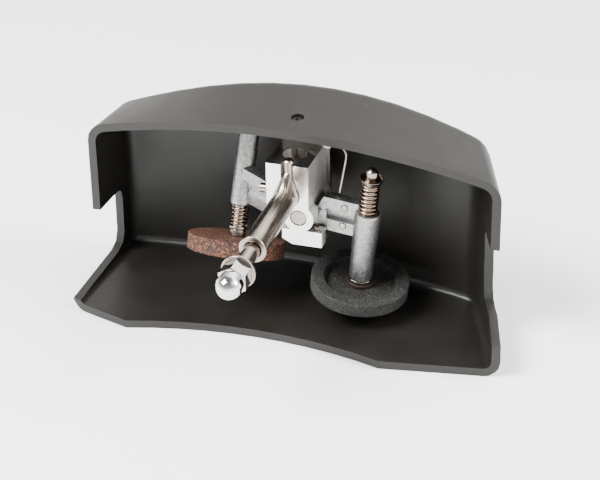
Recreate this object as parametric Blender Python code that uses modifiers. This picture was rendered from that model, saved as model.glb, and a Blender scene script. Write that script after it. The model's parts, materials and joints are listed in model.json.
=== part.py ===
"""Blade sharpener head: two sprung grinding stones on a rocking bracket, inside an open-fronted cover.

Metres, +Z up.  The origin lies on the underside of the cover's floor, below the front face of the block
that carries the mechanism.  +X is to the right, +Y goes into the cover, and the clamp stud points to -Y.
"""
import math

import bmesh
import bpy
from mathutils import Matrix, Vector

MM = 0.001
GAP = 0.3 * MM                      # air kept between touching pieces

# ---- cover ----------------------------------------------------------------------------------------
WALL = 4.2 * MM                     # moulding thickness
EDGE_RADIUS = 8.0 * MM              # rounding between floor, walls and top
FRONT_MM = -45.0                    # depth of the moulding's front before it is trimmed
KINK_MM = 3.0                       # the right wall turns a little at this depth
LEFT_WALL = [Vector(at) * MM for at in ((-109.1, FRONT_MM), (-107.4, KINK_MM), (-105.9, 48.0))]
RIGHT_WALL = [Vector(at) * MM for at in ((119.9, FRONT_MM), (105.5, KINK_MM), (90.4, 38.5))]
BACK_BULGE = 10.3 * MM
RIM_LEFT = Vector((-108.0, 6.9)) * MM
RIM_RIGHT = Vector((105.0, 2.6)) * MM
RIM_Y = 6.5 * MM
FRONT_ARCH = (-2 * MM, 102.1 * MM, 442 * MM)    # crown x, crown height, radius
BACK_ARCH = (11 * MM, 108.0 * MM, 290 * MM)
ARCH_BACK_Y = 52 * MM
SCOOP_LEFT = Vector((-75.3, -32.6)) * MM        # ends of the floor's hollow front edge
SCOOP_RIGHT = Vector((55.5, -32.4)) * MM
SCOOP_DEPTH = 10 * MM
SCOOP_SLOPE_LEFT = 0.31
SCOOP_SLOPE_RIGHT = 0.16
COVER_RIBS = 12
COVER_SCREW_AT = Vector((0, 18)) * MM
COVER_HOLE_R = 3.3 * MM
COVER_SHANK_HOLE_R = 2.2 * MM
HEAD_DEPTH = 2.9 * MM               # of the screw's counterbore

# ---- carrier block, hanger and stud ---------------------------------------------------------------
BLOCK_HALF_WIDTH = 10.7 * MM
BLOCK_DEPTH = 30 * MM
BLOCK_BOTTOM = 60.5 * MM
BLOCK_TOP = 86 * MM
SLOT_WIDTH = 6.4 * MM
SLOT_DEPTH = 14 * MM
WELL_R = 6.1 * MM
WELL_Y = 13 * MM
LUG_R = 7.7 * MM
LUG_THICK = 8 * MM
REAR_LUG_Y = 22.5 * MM
PIVOT = Vector((5.4, 0, 57.8)) * MM
AXLE_R = 4 * MM
STUD_HEIGHT = 69.4 * MM             # at the block's front face
STUD_DROOP = math.radians(2)
STUD_R = 6 * MM
STUD_NECK_R = 4 * MM
STUD_BACK = 24 * MM
SHOULDER = -49.5 * MM               # along the stud, from the block's front face
STUD_TIP = -82 * MM
PIN_R = 2.65 * MM
PIN_Y = 3.7 * MM
PIN_PROUD = 1.7 * MM                # above the block's top
PIN_CHAMFER = 0.5 * MM
WASHER_Y = -71.3 * MM
NUT_AF = 13 * MM
NUT_DOME_R = 6.25 * MM
NUT_DOME_Y = -84.5 * MM
HANGER_HALF_WIDTH = 12.3 * MM
HANGER_THICK = 3 * MM
FLANGE_RIGHT = 8 * MM               # the flange leaves room for the torsion spring
HANGER_TOP = 97.4 * MM
HANGER_BOTTOM = 50.5 * MM
HANGER_SCREW_X = -7.5 * MM
HANGER_SCREWS = {"lower": 67 * MM, "upper": 81 * MM}
SPRING_POST = Vector((15.2, 0, 91.8)) * MM
TORSION_R = 3.65 * MM
TORSION_WIRE_R = 0.6 * MM
TORSION_TURNS = 3.1
TORSION_BACK = 25.5 * MM            # where the coil starts; it grows towards the front
TORSION_PITCH = 1.6 * MM
STOP_PLATE_LOW = Vector((-3.9, 2.5, 41.4)) * MM
STOP_PLATE_HIGH = Vector((16.5, 9.5, 49.6)) * MM
PLATE_SCREW_Y = 5.7 * MM
LOCK_Y = 3.2 * MM                   # of the screw that holds the stud
LOCK_Z = 70.4 * MM
LOCK_HEAD_R = 2.4 * MM

# ---- rocker bracket -------------------------------------------------------------------------------
ROCKER_TILT = math.radians(6.3)     # right-hand side down at rest
HUB_R = 6.4 * MM
HUB_Y = (8.4 * MM, 22.1 * MM)
ARM_Y = (10.5 * MM, 17.0 * MM)
ARM_HALF_HEIGHT = 9 * MM
ARM_THICK = 6.2 * MM
FRONT_POCKET = 3.4 * MM             # depth of the recess between an arm's flanges
BACK_POCKET = 1.2 * MM
ARM_PIN_X = 20 * MM                 # along the right arm from the pivot
ARM_PINS = {"upper": 5.5 * MM, "lower": -4.8 * MM}
NECK_TOP = 59.3 * MM                # the part of the bracket that passes under the block
NECK_BOTTOM = 49.0 * MM

# ---- spindles: a point on each axis and its direction, pointing up ---------------------------------
GRIND_POINT = Vector((-31.2, 18.8, 49.7)) * MM
GRIND_AXIS = Vector((0.014, 0.41, 1.0)).normalized()
GRIND_BARREL = (0.0, 37 * MM)
GRIND_BARREL_R = 5.3 * MM
GRIND_SPINDLE_R = 3.0 * MM
GRIND_STONE = (-23.9 * MM, -15.8 * MM)
GRIND_STONE_R = 24.6 * MM
GRIND_SPRING = (-9.9 * MM, -0.5 * MM)
TRUE_POINT = Vector((33.1, 13.7, 21.5)) * MM
TRUE_AXIS = Vector((4.4, -2.2, 38.6)).normalized()
TRUE_BARREL = (0.9 * MM, 38.9 * MM)
TRUE_BARREL_R = 6.45 * MM
TRUE_SPINDLE_R = 3.15 * MM
TRUE_STONE = (-6.9 * MM, 0.0)
TRUE_STONE_R = 24.6 * MM
TRUE_RECESS_R = 18.3 * MM
TRUE_RECESS_FLOOR = -3.0 * MM
TRUE_SPRING = (39.4 * MM, 55.6 * MM)
BORE_R = 4.4 * MM
BUSH_LENGTH = 10 * MM
STONE_NUT_R = 5.8 * MM              # over the corners

COIL_STEPS = 11
SMALL_STEPS = 20
ROUND_STEPS = 24
STONE_STEPS = 36


# ---- scene and helpers ----------------------------------------------------------------------------
def clear_scene():
    for obj in list(bpy.data.objects):
        bpy.data.objects.remove(obj, do_unlink=True)


def new_collection(name):
    collection = bpy.data.collections.new(name)
    bpy.context.scene.collection.children.link(collection)
    return collection


def make_material(name, colour, roughness, metallic):
    material = bpy.data.materials.new(name)
    material.use_nodes = True
    shader = material.node_tree.nodes["Principled BSDF"]
    shader.inputs["Base Color"].default_value = (*colour, 1.0)
    shader.inputs["Roughness"].default_value = roughness
    shader.inputs["Metallic"].default_value = metallic
    return material


def make_materials():
    return {
        "moulding": make_material("moulding", (0.09, 0.085, 0.08), 0.45, 0.0),
        "machined": make_material("machined", (0.80, 0.80, 0.79), 0.35, 1.0),
        "cast": make_material("cast", (0.60, 0.61, 0.62), 0.50, 1.0),
        "stainless": make_material("stainless", (0.75, 0.73, 0.70), 0.22, 1.0),
        "chrome": make_material("chrome", (0.88, 0.88, 0.88), 0.06, 1.0),
        "bronze": make_material("bronze", (0.45, 0.32, 0.22), 0.40, 1.0),
        "spring": make_material("spring", (0.60, 0.50, 0.43), 0.28, 1.0),
        "brown_grit": make_material("brown_grit", (0.36, 0.20, 0.14), 0.90, 0.0),
        "grey_grit": make_material("grey_grit", (0.12, 0.12, 0.12), 0.92, 0.0),
        "blackened": make_material("blackened", (0.05, 0.05, 0.05), 0.40, 1.0),
        "rubber": make_material("rubber", (0.03, 0.03, 0.03), 0.80, 0.0),
        "fibre": make_material("fibre", (0.09, 0.065, 0.055), 0.60, 0.0),
    }


def add_object(name, mesh, material, parent=None):
    obj = bpy.data.objects.new(name, mesh)
    if material is None:
        CUTTERS.objects.link(obj)
        obj.hide_render = True
        obj.display_type = "WIRE"
    else:
        PARTS.objects.link(obj)
        mesh.materials.append(material)
    obj.parent = parent
    return obj


def add_frame(name, origin, axis=Vector((0, 0, 1)), roll=Matrix.Identity(4)):
    """An empty at origin whose +Z lies along axis; the pieces on that axis are its children."""
    frame = bpy.data.objects.new(name, None)
    PARTS.objects.link(frame)
    turn = Vector((0, 0, 1)).rotation_difference(axis).to_matrix().to_4x4()
    frame.matrix_world = Matrix.Translation(origin) @ turn @ roll
    return frame


def mesh_from(bm, name):
    mesh = bpy.data.meshes.new(name)
    bm.to_mesh(mesh)
    bm.free()
    return mesh


def box(name, low, high, material=None, parent=None):
    bm = bmesh.new()
    bmesh.ops.create_cube(bm, size=1.0)
    size = Vector(high) - Vector(low)
    centre = (Vector(high) + Vector(low)) / 2
    bmesh.ops.scale(bm, vec=size, verts=bm.verts)
    bmesh.ops.translate(bm, vec=centre, verts=bm.verts)
    return add_object(name, mesh_from(bm, name), material, parent)


def rod(name, radius, start, end, material=None, parent=None, steps=SMALL_STEPS, taper=1.0):
    """A cylinder or cone from start to end, in the parent's frame; steps=6 makes a hexagon."""
    start = Vector(start)
    end = Vector(end)
    bm = bmesh.new()
    bmesh.ops.create_cone(bm, cap_ends=True, segments=steps, radius1=radius, radius2=radius * taper,
                          depth=(end - start).length)
    turn = Vector((0, 0, 1)).rotation_difference(end - start).to_matrix().to_4x4()
    bmesh.ops.transform(bm, matrix=Matrix.Translation((start + end) / 2) @ turn, verts=bm.verts)
    return add_object(name, mesh_from(bm, name), material, parent)


def prism(name, outline, low, high, plane, material=None, parent=None):
    """A flat outline, drawn in the XY, XZ or YZ plane, drawn out from low to high."""
    place = {"XY": lambda a, b, c: (a, b, c), "XZ": lambda a, b, c: (a, c, b),
             "YZ": lambda a, b, c: (c, a, b)}[plane]
    bm = bmesh.new()
    face = bm.faces.new([bm.verts.new(place(a, b, low)) for a, b in outline])
    drawn = bmesh.ops.extrude_face_region(bm, geom=[face])
    moved = [item for item in drawn["geom"] if isinstance(item, bmesh.types.BMVert)]
    bmesh.ops.translate(bm, vec=Vector(place(0, 0, high - low)), verts=moved)
    bmesh.ops.recalc_face_normals(bm, faces=bm.faces)
    return add_object(name, mesh_from(bm, name), material, parent)


def turned(name, profile, material=None, parent=None, steps=ROUND_STEPS, ring=False):
    """A turned piece about its parent's Z axis; profile is (radius, height), down the outer side."""
    bm = bmesh.new()
    verts = [bm.verts.new((radius, 0, height)) for radius, height in profile]
    ends = verts[1:] + verts[:1] if ring else verts[1:]
    for first, second in zip(verts, ends):
        bm.edges.new((first, second))
    obj = add_object(name, mesh_from(bm, name), material, parent)
    screw = obj.modifiers.new("turn", "SCREW")
    screw.axis = "Z"
    screw.steps = steps
    screw.render_steps = steps
    screw.use_merge_vertices = True
    screw.merge_threshold = 0.00001
    return obj


def washer(name, inner, outer, low, high, material=None, parent=None, steps=ROUND_STEPS):
    profile = [(outer, high), (outer, low), (inner, low), (inner, high)]
    return turned(name, profile, material, parent, steps, ring=True)


def combine(obj, other, operation):
    modifier = obj.modifiers.new(other.name, "BOOLEAN")
    modifier.operation = operation
    modifier.solver = "EXACT"
    modifier.object = other


def cut(obj, *others):
    for other in others:
        combine(obj, other, "DIFFERENCE")


def join(obj, *others):
    for other in others:
        combine(obj, other, "UNION")


def bevel(obj, width, segments, angle=math.radians(35)):
    modifier = obj.modifiers.new("edges", "BEVEL")
    modifier.width = width
    modifier.segments = segments
    modifier.limit_method = "ANGLE"
    modifier.angle_limit = angle


def wire(name, points, radius, material, parent=None):
    """A bent wire through the points, with closed ends."""
    curve = bpy.data.curves.new(name + "_path", "CURVE")
    curve.dimensions = "3D"
    curve.bevel_depth = radius
    curve.bevel_resolution = 2
    curve.use_fill_caps = True
    spline = curve.splines.new("POLY")
    spline.points.add(len(points) - 1)
    for point, place in zip(spline.points, points):
        point.co = (*place, 1.0)
    obj = bpy.data.objects.new(name, curve)
    PARTS.objects.link(obj)
    curve.materials.append(material)
    obj.parent = parent
    return obj


def coil_points(radius, low, high, turns, steps_per_turn=COIL_STEPS):
    count = int(turns * steps_per_turn)
    return [Vector((radius * math.cos(2 * math.pi * i / steps_per_turn),
                    radius * math.sin(2 * math.pi * i / steps_per_turn),
                    low + (high - low) * i / count)) for i in range(count + 1)]


def arc_through(start, end, bulge, count):
    """Points on the circle arc from start to end; bulge > 0 bows to the left of start -> end."""
    chord = end - start
    half = chord.length / 2
    radius = (half * half + bulge * bulge) / (2 * abs(bulge))
    left = Vector((-chord.y, chord.x)).normalized() * math.copysign(1, bulge)
    centre = (start + end) / 2 - left * (radius - abs(bulge))
    sweep = math.asin(half / radius)
    along = chord.normalized()
    points = []
    for i in range(count + 1):
        angle = -sweep + 2 * sweep * i / count
        points.append(centre + along * radius * math.sin(angle) + left * radius * math.cos(angle))
    return points


# ---- cover ----------------------------------------------------------------------------------------
def arch_height(arch, x):
    crown_x, crown_z, radius = arch
    return crown_z - (x - crown_x) ** 2 / (2 * radius)


def top_height(x, y):
    front = arch_height(FRONT_ARCH, x)
    back = arch_height(BACK_ARCH, x)
    return front + (back - front) * (y - RIM_Y) / (ARCH_BACK_Y - RIM_Y)


def cover_ribs():
    """Closed-off ribs from left to right: floor front, middle, back, then top back, middle, front."""
    back_line = arc_through(LEFT_WALL[2], RIGHT_WALL[2], BACK_BULGE, COVER_RIBS)
    ribs = []
    for i, back in enumerate(back_line):
        share = i / COVER_RIBS
        plan = [left.lerp(right, share) for left, right in zip(LEFT_WALL[:2], RIGHT_WALL[:2])] + [back]
        floor = [(at.x, at.y, 0) for at in plan]
        top = [(at.x, at.y, top_height(at.x, at.y)) for at in reversed(plan)]
        ribs.append(floor + top)
    return ribs


def cover_shell(material):
    """Floor, back and top drawn over the ribs and closed by the two side walls, open in front."""
    bm = bmesh.new()
    ribs = [[bm.verts.new(place) for place in rib] for rib in cover_ribs()]
    for left, right in zip(ribs, ribs[1:]):
        for k in range(5):
            bm.faces.new((left[k], left[k + 1], right[k + 1], right[k]))
    for rib in (ribs[0][::-1], ribs[-1]):
        bm.faces.new((rib[0], rib[1], rib[4], rib[5]))
        bm.faces.new((rib[1], rib[2], rib[3], rib[4]))
    bmesh.ops.recalc_face_normals(bm, faces=bm.faces)
    if max(bm.faces, key=lambda face: face.calc_center_median().z).normal.z < 0:
        bmesh.ops.reverse_faces(bm, faces=bm.faces)
    cover = add_object("cover", mesh_from(bm, "cover"), material)
    bevel(cover, EDGE_RADIUS, 4)
    shell = cover.modifiers.new("thickness", "SOLIDIFY")
    shell.thickness = WALL
    shell.offset = -1
    shell.use_even_offset = True
    return cover


def floor_trim():
    """Everything in front of the floor's front edge: two straight ends and a hollow arc between them."""
    far = 150 * MM
    hollow = arc_through(SCOOP_LEFT, SCOOP_RIGHT, SCOOP_DEPTH, 10)
    left = Vector((-far, SCOOP_LEFT.y + SCOOP_SLOPE_LEFT * (far + SCOOP_LEFT.x)))
    right = Vector((far, SCOOP_RIGHT.y + SCOOP_SLOPE_RIGHT * (far - SCOOP_RIGHT.x)))
    outline = [Vector((-far, -far)), left, *hollow, right, Vector((far, -far))]
    return prism("floor_trim", outline, -20 * MM, 60 * MM, "XY")


def rim_trim():
    """Everything in front of the top's front edge, above the side notches."""
    far = 150 * MM
    slope = (RIM_RIGHT.y - RIM_LEFT.y) / (RIM_RIGHT.x - RIM_LEFT.x)
    outline = [(x, RIM_LEFT.y + slope * (x - RIM_LEFT.x)) for x in (-far, far)]
    outline += [(far, -far), (-far, -far)]
    return prism("rim_trim", outline, 58 * MM, 140 * MM, "XY")


def left_notch():
    lip = [(-60, 6.1), (-22, 6.1), (24, 8.2), (30.5, 10.5), (33, 16)]
    head = [(33.4, 36), (32, 40.5), (28, 42), (6.9, 42), (6.9, 64), (-60, 64)]
    outline = [(y * MM, z * MM) for y, z in lip + head]
    return prism("left_notch", outline, -140 * MM, -70 * MM, "YZ")


def right_notch():
    lip = [(-60, 17.0), (-18, 17.0), (-6, 18.4), (8, 18.6), (13, 20.6), (15.6, 26)]
    head = [(17.0, 56.0), (2.8, 54.0), (2.8, 64), (-60, 64)]
    outline = [(y * MM, z * MM) for y, z in lip + head]
    return prism("right_notch", outline, 60 * MM, 160 * MM, "YZ")


def make_cover(mats):
    cover = cover_shell(mats["moulding"])
    x, y = COVER_SCREW_AT
    seat = top_height(x, y) - HEAD_DEPTH
    shank_hole = rod("cover_shank_hole", COVER_SHANK_HOLE_R, (x, y, seat - 8 * MM), (x, y, seat + 8 * MM))
    head_hole = rod("cover_head_hole", COVER_HOLE_R, (x, y, seat), (x, y, seat + 8 * MM))
    cut(cover, floor_trim(), rim_trim(), left_notch(), right_notch(), shank_hole, head_hole)


def make_cover_screw(mats):
    x, y = COVER_SCREW_AT
    seat = top_height(x, y) - HEAD_DEPTH + GAP
    frame = add_frame("cover_screw_axis", Vector((x, y, seat)))
    profile = [(0, 1.5), (2.4, 1.5), (2.9, 1.0), (2.9, 0), (1.8, 0), (1.8, -9.5), (0, -9.5)]
    outline = [(radius * MM, z * MM) for radius, z in profile]
    screw = turned("cover_screw", outline, mats["blackened"], frame, SMALL_STEPS)
    cut(screw, rod("hex_socket", 1.5 * MM, (0, 0, 0.5 * MM), (0, 0, 3 * MM), None, frame, 6))
    pad = add_frame("cover_pad_axis", Vector((x, y, HANGER_TOP)))
    washer("cover_pad", COVER_SHANK_HOLE_R, 6 * MM, GAP, 0.9 * MM, mats["rubber"], pad, SMALL_STEPS)


# ---- carrier block and what is fixed to it ---------------------------------------------------------
def make_block(mats, stud_frame):
    half = BLOCK_HALF_WIDTH
    block = box("carrier_block", (-half, 0, BLOCK_BOTTOM), (half, BLOCK_DEPTH, BLOCK_TOP), mats["machined"])
    lugs = [(0, LUG_THICK, "front"), (REAR_LUG_Y, BLOCK_DEPTH, "rear")]
    for low, high, place in lugs:
        join(block, rod(place + "_lug", LUG_R, (PIVOT.x, low, PIVOT.z), (PIVOT.x, high, PIVOT.z),
                        steps=ROUND_STEPS))
        join(block, box(place + "_lug_root", (PIVOT.x - LUG_R + 0.1 * MM, low, PIVOT.z),
                        (half - 0.1 * MM, high, BLOCK_BOTTOM + MM)))
    relief = rod("hub_relief", HUB_R + 0.8 * MM, (PIVOT.x, LUG_THICK, PIVOT.z),
                 (PIVOT.x, REAR_LUG_Y, PIVOT.z), steps=ROUND_STEPS)
    axle_hole = rod("axle_hole", AXLE_R + GAP, (PIVOT.x, -5 * MM, PIVOT.z), (PIVOT.x, 35 * MM, PIVOT.z))
    stud_hole = rod("stud_hole", STUD_R + GAP, (0, -5 * MM, 0), (0, STUD_BACK + MM, 0), parent=stud_frame,
                    steps=ROUND_STEPS)
    slot = box("slot", (-SLOT_WIDTH / 2, -5 * MM, STUD_HEIGHT), (SLOT_WIDTH / 2, SLOT_DEPTH, BLOCK_TOP + MM))
    well = rod("well", WELL_R, (0, WELL_Y, STUD_HEIGHT + 4 * MM), (0, WELL_Y, BLOCK_TOP + MM))
    lock_hole = rod("lock_hole", 2.0 * MM, (-15 * MM, LOCK_Y, LOCK_Z), (0, LOCK_Y, LOCK_Z))
    plate_hole = rod("plate_screw_hole", 1.8 * MM, (PIVOT.x, PLATE_SCREW_Y, 45 * MM),
                     (PIVOT.x, PLATE_SCREW_Y, 55 * MM))
    cut(block, relief, axle_hole, stud_hole, slot, well, lock_hole, plate_hole)
    for place, z in HANGER_SCREWS.items():
        cut(block, rod("hanger_hole_" + place, 2.1 * MM, (HANGER_SCREW_X, 24.5 * MM, z),
                       (HANGER_SCREW_X, 35 * MM, z)))


def make_hanger(mats):
    """Bent plate: its upright is screwed to the back of the block, its flange takes the cover screw."""
    back = BLOCK_DEPTH + GAP
    half = HANGER_HALF_WIDTH
    hanger = box("hanger_plate", (-half, back, HANGER_BOTTOM), (half, back + HANGER_THICK, HANGER_TOP),
                 mats["cast"])
    flange = box("hanger_flange", (-half, 11 * MM, HANGER_TOP - HANGER_THICK),
                 (FLANGE_RIGHT, back + MM, HANGER_TOP))
    ear = rod("hanger_ear", 5.5 * MM, (SPRING_POST.x, back, SPRING_POST.z),
              (SPRING_POST.x, back + HANGER_THICK, SPRING_POST.z))
    join(hanger, flange, ear)
    x, y = COVER_SCREW_AT
    cut(hanger, rod("flange_hole", 2.1 * MM, (x, y, 85 * MM), (x, y, 100 * MM)))
    cut(hanger, rod("post_hole", 1.8 * MM, (SPRING_POST.x, 25 * MM, SPRING_POST.z),
                    (SPRING_POST.x, 40 * MM, SPRING_POST.z)))
    for place, z in HANGER_SCREWS.items():
        cut(hanger, rod("hanger_clearance_" + place, 2.3 * MM, (HANGER_SCREW_X, 28 * MM, z),
                        (HANGER_SCREW_X, 36 * MM, z)))


def make_hanger_screws(mats):
    back = BLOCK_DEPTH + HANGER_THICK + 2 * GAP
    x = HANGER_SCREW_X
    for place, z in HANGER_SCREWS.items():
        screw = rod("hanger_screw_" + place, 1.8 * MM, (x, 25 * MM, z), (x, back + MM, z), mats["stainless"])
        join(screw, rod("hanger_head_" + place, 3.5 * MM, (x, back, z), (x, back + 2.6 * MM, z)))


def make_axle(mats):
    rod("pivot_axle", AXLE_R, (PIVOT.x, 0.1 * MM, PIVOT.z), (PIVOT.x, BLOCK_DEPTH - 0.1 * MM, PIVOT.z),
        mats["stainless"], steps=ROUND_STEPS)
    frame = add_frame("pivot_line", PIVOT, Vector((0, 1, 0)))
    for name, low, high in (("hub_bush_front", 8.8, 14.8), ("hub_bush_rear", 15.8, 21.8)):
        washer(name, AXLE_R + GAP, AXLE_R + 1.1 * MM, low * MM, high * MM, mats["bronze"], frame)


def make_stud(mats, frame):
    """Round stud along the frame's Y axis, with its upright key pin and the saddle below the pin."""
    line = bpy.data.objects.new("stud_line", None)
    PARTS.objects.link(line)
    line.parent = frame
    line.rotation_euler = (math.radians(90), 0, 0)      # its +Z points along the stud, to the nut
    back = -STUD_BACK
    profile = [(0, -STUD_TIP), (STUD_NECK_R - 0.8 * MM, -STUD_TIP), (STUD_NECK_R, -STUD_TIP - 0.8 * MM),
               (STUD_NECK_R, -SHOULDER), (STUD_R - 0.5 * MM, -SHOULDER), (STUD_R, -SHOULDER - 0.5 * MM),
               (STUD_R, back), (0, back)]
    stud = turned("clamp_stud", profile, mats["stainless"], line)
    pin_top = BLOCK_TOP + PIN_PROUD - STUD_HEIGHT
    pin = rod("key_pin", PIN_R, (0, PIN_Y, 0), (0, PIN_Y, pin_top - PIN_CHAMFER), parent=frame)
    pin_end = rod("key_pin_end", PIN_R, (0, PIN_Y, pin_top - PIN_CHAMFER), (0, PIN_Y, pin_top), parent=frame,
                  taper=1 - PIN_CHAMFER / PIN_R)
    saddle = rod("saddle", 5.9 * MM, (0, -3.4 * MM, 1.5 * MM), (0, PIN_Y - 0.4 * MM, 10.5 * MM), parent=frame,
                 taper=0.45)
    for side in (-1, 1):
        edge = SLOT_WIDTH / 2 - GAP
        inner, outer = sorted((side * edge, side * 9 * MM))
        cut(saddle, box(f"saddle_side_{side}", (inner, -GAP, 0), (outer, 9 * MM, 14 * MM), parent=frame))
    join(stud, pin, pin_end, saddle)
    washer("shoulder_ring", STUD_NECK_R + GAP, 6.9 * MM, -SHOULDER + GAP, -SHOULDER + 2.6 * MM,
           mats["stainless"], line)
    washer("clamp_washer", STUD_NECK_R + GAP, 8.45 * MM, -WASHER_Y - 0.8 * MM, -WASHER_Y + 0.8 * MM,
           mats["stainless"], line)
    make_acorn_nut(mats, line)


def make_acorn_nut(mats, line):
    face = -WASHER_Y + 0.8 * MM + GAP
    dome_z = -NUT_DOME_Y
    corner_r = NUT_AF / math.sqrt(3)
    nut = rod("acorn_nut", corner_r, (0, 0, face), (0, 0, face + 8.2 * MM), mats["chrome"], line, steps=6)
    dome = [(NUT_DOME_R * math.sin(a), dome_z + NUT_DOME_R * math.cos(a))
            for a in (math.radians(15 * i) for i in range(7))]
    dome[0] = (0, dome_z + NUT_DOME_R)
    crown = turned("nut_crown", dome + [(NUT_DOME_R, face + 5 * MM), (0, face + 5 * MM)], None, line)
    cone = turned("nut_cone", [(0, face + 14 * MM), (corner_r - 1.5 * MM, face + 9 * MM),
                               (corner_r + 4 * MM, face + 5.8 * MM), (corner_r + 4 * MM, face - 0.6 * MM),
                               (corner_r - 0.7 * MM, face), (0, face)], None, line)
    combine(nut, cone, "INTERSECT")
    join(nut, crown)
    bore = rod("nut_bore", STUD_NECK_R + GAP, (0, 0, face - MM), (0, 0, -STUD_TIP + GAP), None, line)
    cut(nut, bore)


def make_lock_screw(mats):
    x = -BLOCK_HALF_WIDTH
    screw = rod("stud_lock_screw", 1.7 * MM, (x - MM, LOCK_Y, LOCK_Z), (-STUD_R - 0.6 * MM, LOCK_Y, LOCK_Z),
                mats["stainless"])
    head = rod("lock_head", LOCK_HEAD_R, (x - 4 * MM, LOCK_Y, LOCK_Z), (x - GAP, LOCK_Y, LOCK_Z))
    join(screw, head)


def make_stop_plate(mats):
    low, high = STOP_PLATE_LOW, STOP_PLATE_HIGH
    outline = [(low.x, high.z), (high.x, high.z), (high.x, low.z), (low.x + 5.2 * MM, low.z),
               (low.x, low.z + 2.7 * MM)]
    plate = prism("stop_plate", outline, low.y, high.y, "XZ", mats["machined"])
    x, y = PIVOT.x, PLATE_SCREW_Y
    cut(plate, rod("plate_hole", 1.9 * MM, (x, y, 35 * MM), (x, y, 55 * MM)),
        rod("plate_counterbore", 2.7 * MM, (x, y, 35 * MM), (x, y, low.z + 3.3 * MM)),
        rod("grub_hole", 1.5 * MM, (13.1 * MM, y, low.z + 2 * MM), (13.1 * MM, y, 55 * MM)))
    screw = rod("stop_plate_screw", 1.5 * MM, (x, y, low.z + 2 * MM), (x, y, 53.1 * MM), mats["stainless"])
    join(screw, rod("plate_screw_head", 2.4 * MM, (x, y, low.z + 0.2 * MM), (x, y, low.z + 3.0 * MM)))
    rod("plate_grub_screw", 1.2 * MM, (13.1 * MM, y, low.z + 2.4 * MM), (13.1 * MM, y, high.z + 1.6 * MM),
        mats["stainless"], steps=12)


# ---- rocker bracket -------------------------------------------------------------------------------
def arm_with_web(name, length, thick, frame, start):
    """I-section arm along the frame's +X: full depth flanges and a thinner web, cut from both faces."""
    half = ARM_HALF_HEIGHT
    arm = box(name, (start, -thick / 2, -half), (length, thick / 2, half), parent=frame)
    pockets = (("front", -thick, -thick / 2 + FRONT_POCKET), ("back", thick / 2 - BACK_POCKET, thick))
    for side, low, high in pockets:
        cut(arm, box(f"{name}_{side}_pocket", (start + 1.5 * MM, low, -2.8 * MM),
                     (length + MM, high, 3.0 * MM), parent=frame))
    return arm


def make_bracket(mats, grind, true):
    middle = (ARM_Y[0] + ARM_Y[1]) / 2
    bracket = rod("rocker_bracket", HUB_R, (PIVOT.x, HUB_Y[0], PIVOT.z), (PIVOT.x, HUB_Y[1], PIVOT.z),
                  mats["cast"], steps=ROUND_STEPS)
    right = add_frame("right_arm_frame", Vector((PIVOT.x, middle, PIVOT.z)),
                      roll=Matrix.Rotation(ROCKER_TILT, 4, "Y"))
    right_arm = arm_with_web("right_arm", 26.8 * MM, ARM_THICK, right, 9.0 * MM)
    neck_half = ARM_THICK / 2 - 0.1 * MM
    right_neck = box("right_neck", (PIVOT.x - 2 * MM, middle - neck_half, NECK_BOTTOM + 0.6 * MM),
                     (PIVOT.x + 11 * MM, middle + neck_half, NECK_TOP - MM))
    gusset = prism("right_gusset", [(11.3 * MM, 59.3 * MM), (15.5 * MM, 66.0 * MM), (15.5 * MM, 48.6 * MM),
                                    (9.8 * MM, 49.2 * MM)], ARM_Y[0] + 0.7 * MM, ARM_Y[1] - 0.7 * MM, "XZ")
    left_neck = box("left_neck", (-14 * MM, 11.4 * MM, NECK_BOTTOM + 0.3 * MM),
                    (PIVOT.x, 17.4 * MM, NECK_TOP))
    start = Vector((-12.2, 14.4, 59.3)) * MM
    end = GRIND_POINT + GRIND_AXIS * 12.5 * MM
    course = (end - start)
    heading = math.atan2(course.y, course.x)
    left = add_frame("left_arm_frame", start, roll=Matrix.Rotation(heading, 4, "Z") @
                     Matrix.Rotation(-ROCKER_TILT, 4, "Y"))
    left_arm = arm_with_web("left_arm", Vector((course.x, course.y)).length - 2 * MM, ARM_THICK, left, 0.0)
    grind_barrel = turned("grind_barrel", [
        (0, GRIND_BARREL[1]), (GRIND_BARREL_R, GRIND_BARREL[1]), (GRIND_BARREL_R, GRIND_BARREL[0] + 1.5 * MM),
        (GRIND_BARREL_R - 1.0 * MM, GRIND_BARREL[0]), (0, GRIND_BARREL[0])], None, grind)
    true_barrel = turned("true_barrel", [
        (0, TRUE_BARREL[1]), (TRUE_BARREL_R - 0.5 * MM, TRUE_BARREL[1]), (TRUE_BARREL_R, TRUE_BARREL[1] - MM),
        (TRUE_BARREL_R - 0.6 * MM, TRUE_BARREL[0]), (0, TRUE_BARREL[0])], None, true)
    join(bracket, right_neck, gusset, left_neck, right_arm, left_arm, grind_barrel, true_barrel)
    under_block = box("under_block", (-BLOCK_HALF_WIDTH - 0.6 * MM, 9 * MM, NECK_TOP + 0.0001 * MM),
                      (-2.5 * MM, 21 * MM, 80 * MM))
    bore = rod("hub_bore", AXLE_R + 1.4 * MM, (PIVOT.x, 0, PIVOT.z), (PIVOT.x, 35 * MM, PIVOT.z),
               steps=ROUND_STEPS)
    grind_bore = rod("grind_bore", BORE_R, (0, 0, -5 * MM), (0, 0, 45 * MM), None, grind)
    true_bore = rod("true_bore", BORE_R, (0, 0, -5 * MM), (0, 0, 45 * MM), None, true)
    cut(bracket, under_block, bore, grind_bore, true_bore)
    for place, z in ARM_PINS.items():
        cut(bracket, rod("arm_pin_hole_" + place, 1.95 * MM, (ARM_PIN_X, -5 * MM, z), (ARM_PIN_X, 5 * MM, z),
                         parent=right, steps=14))
    return right


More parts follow.
